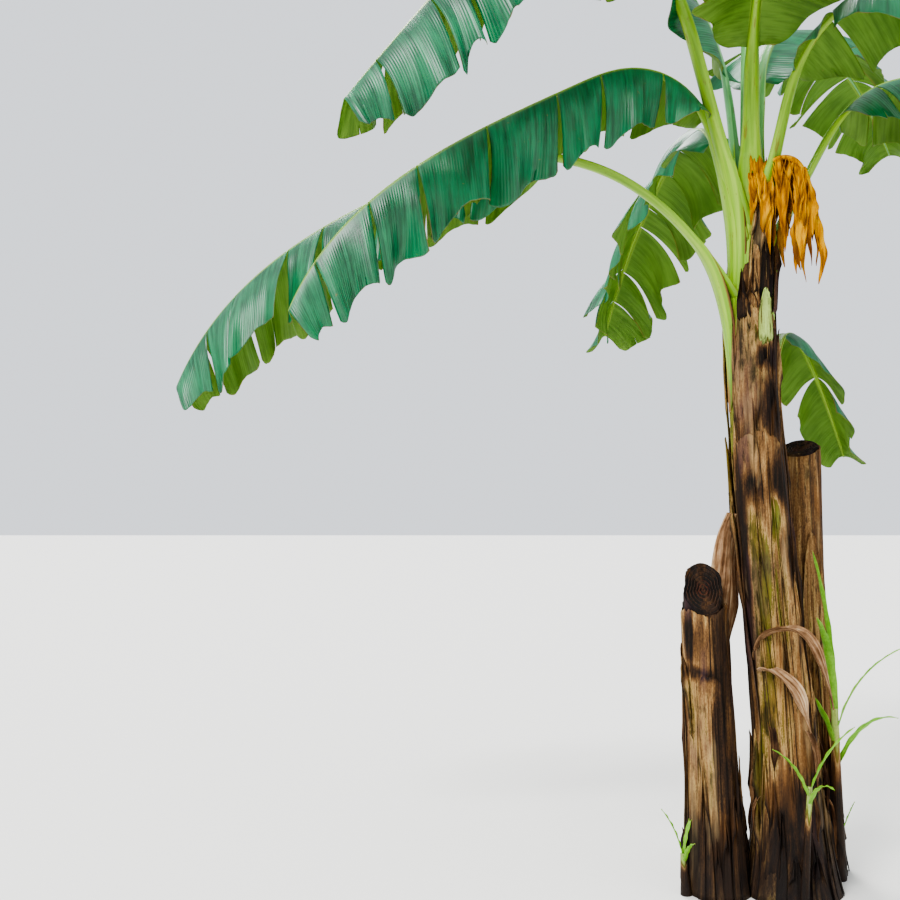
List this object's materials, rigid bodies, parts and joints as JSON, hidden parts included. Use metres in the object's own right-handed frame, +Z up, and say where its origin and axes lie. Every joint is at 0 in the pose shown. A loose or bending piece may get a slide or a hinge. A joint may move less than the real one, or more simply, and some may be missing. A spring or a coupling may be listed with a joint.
{
  "type": "banana plant",
  "caption": "Banana plant rooted in the ground: sheathed main stem, crown of torn arching leaves, withered leaf, stems cut after harvest and young suckers round the foot.",
  "frame": {"origin": "middle of the flat cut under the main stem, at ground level", "axes": "+Z up, +X to the right of the clump and +Y to its back, seen from the side of the picture"},
  "size_m": [4.0067, 3.2911, 4.0313],
  "materials": {
    "stem": "dry, layered leaf sheaths, matt",
    "cut_stem": "weathered, fibrous, matt, with a near-black cut face",
    "petiole": "smooth, waxy, pale yellow-green",
    "blade": "satin deep green above, dull olive green below",
    "dry": "papery, matt",
    "withered": "papery, orange, matt",
    "sucker": "satin light green"
  },
  "bodies": {
    "root": {"main_stem": "stem", "cut_stem_front": "cut_stem", "cut_stem_back": "cut_stem", "sucker_tall": "sucker", "sucker_front": "sucker", "sucker_small": "sucker", "dry_sheath": "dry", "dry_strip_upper": "dry", "dry_strip_lower": "dry", "rolled_leaf": "petiole", "withered_leaf": "withered", "petiole_low_left": "petiole", "petiole_low_back": "petiole", "petiole_long_left": "petiole", "petiole_right": "petiole", "petiole_back": "petiole", "petiole_high_left": "petiole", "petiole_front": "petiole", "petiole_front_right": "petiole", "petiole_back_right": "petiole", "petiole_upright": "petiole", "blade_low_left_inner": "blade", "blade_low_left_outer": "blade", "blade_low_back_inner": "blade", "blade_low_back_outer": "blade", "blade_long_left_inner": "blade", "blade_long_left_outer": "blade", "blade_right_inner": "blade", "blade_right_outer": "blade", "blade_back_inner": "blade", "blade_back_outer": "blade", "blade_high_left_inner": "blade", "blade_high_left_outer": "blade", "blade_front_inner": "blade", "blade_front_outer": "blade", "blade_front_right_inner": "blade", "blade_front_right_outer": "blade", "blade_back_right_inner": "blade", "blade_back_right_outer": "blade", "blade_upright_inner": "blade", "blade_upright_outer": "blade"}
  },
  "joints": []
}
